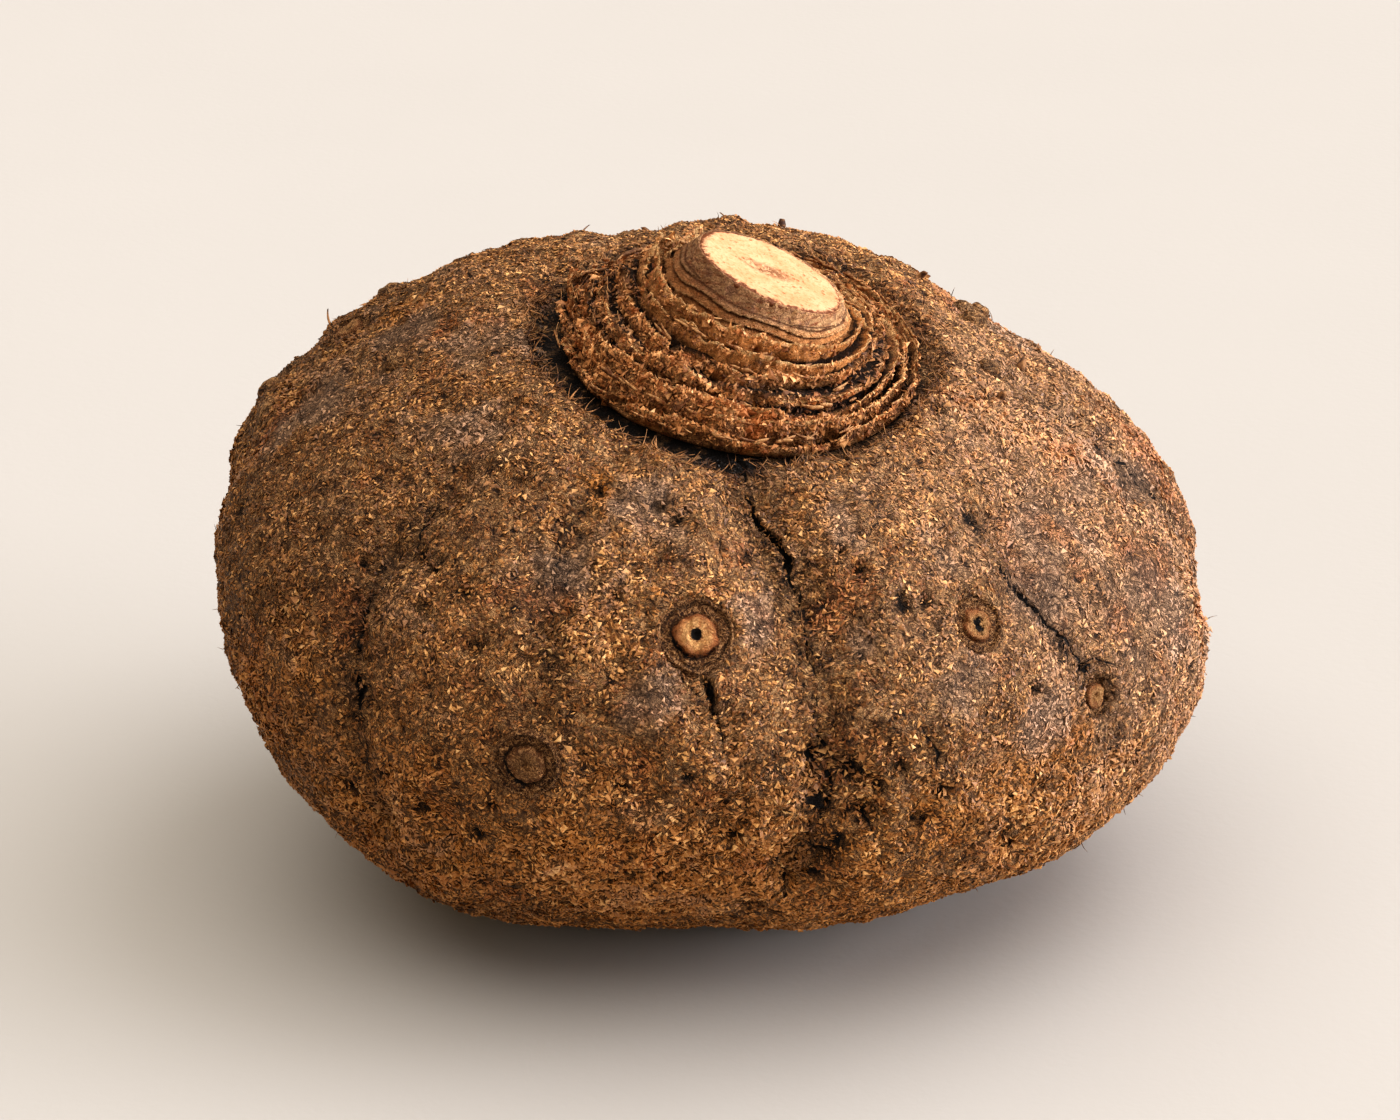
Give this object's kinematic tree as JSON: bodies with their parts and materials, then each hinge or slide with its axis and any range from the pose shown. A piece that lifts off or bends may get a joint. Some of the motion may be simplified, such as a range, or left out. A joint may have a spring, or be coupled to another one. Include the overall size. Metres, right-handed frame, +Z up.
{
  "type": "yam",
  "caption": "Round brown yam lying on its flat underside: a lobed tuber with furrows, cracks and button scars, and a low cone of ragged rings round the pale cut stem.",
  "frame": {"origin": "on the surface the yam lies on, straight below the middle of its outer box", "axes": "+Z up; +X to the right along the widest measure, seen from the front; -Y toward the front, where the crown leans"},
  "size_m": [0.1972, 0.178, 0.1371],
  "materials": {
    "yam_skin": "matte, flaky dry skin",
    "stem_bark": "matte, ragged papery rings round a pale cut"
  },
  "bodies": {
    "root": {"tuber": "yam_skin", "stem_foot": "stem_bark"}
  },
  "joints": []
}
